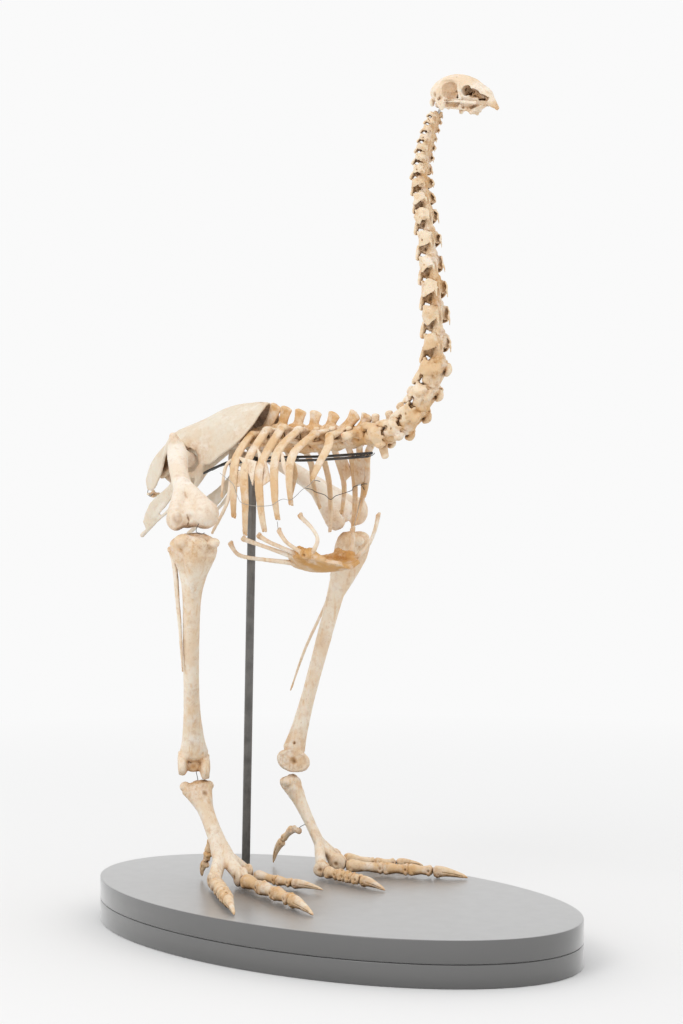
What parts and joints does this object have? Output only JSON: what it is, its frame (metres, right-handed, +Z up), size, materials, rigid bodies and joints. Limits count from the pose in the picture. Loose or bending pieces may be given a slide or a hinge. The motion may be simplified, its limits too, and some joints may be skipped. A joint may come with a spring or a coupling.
{
  "type": "mounted moa skeleton",
  "caption": "Still, life-size museum mount: the skeleton of a flightless moa standing on both feet, held by a steel post on a low oval plinth.",
  "frame": {"origin": "centre of the plinth's underside", "axes": "+X the way the bird faces, +Y the bird's left side, +Z up"},
  "size_m": [0.945, 0.5489, 1.4037],
  "materials": {
    "bone": "dry aged bone, warm ivory with brown staining",
    "bone_tan": "dry aged bone, darker tan",
    "bone_ochre": "dry aged bone, ochre stained",
    "plinth_paint": "satin dark grey paint on board",
    "post_paint": "satin dark grey paint",
    "dark_steel": "dark satin steel"
  },
  "bodies": {
    "root": {"base_lower": "plinth_paint", "base_upper": "plinth_paint", "femur_left": "bone", "femur_right": "bone", "fibula_left": "bone_tan", "fibula_right": "bone_tan", "mount_bar_left": "dark_steel", "mount_bar_right": "dark_steel", "mount_neck_rod": "dark_steel", "mount_post": "post_paint", "mount_wire_left": "dark_steel", "mount_wire_right": "dark_steel", "neck_1": "bone", "neck_2": "bone", "neck_3": "bone", "neck_4": "bone", "pelvis": "bone", "rib_cage_left": "bone", "rib_cage_right": "bone", "skull": "bone", "sternum": "bone_ochre", "tail": "bone", "tarsometatarsus_left": "bone", "tarsometatarsus_right": "bone", "tibiotarsus_left": "bone", "tibiotarsus_right": "bone", "toe_1_left": "bone_tan", "toe_1_right": "bone_tan", "toe_2_left": "bone_tan", "toe_2_right": "bone_tan", "toe_3_left": "bone_tan", "toe_3_right": "bone_tan", "toe_4_left": "bone_tan", "toe_4_right": "bone_tan"}
  },
  "joints": []
}
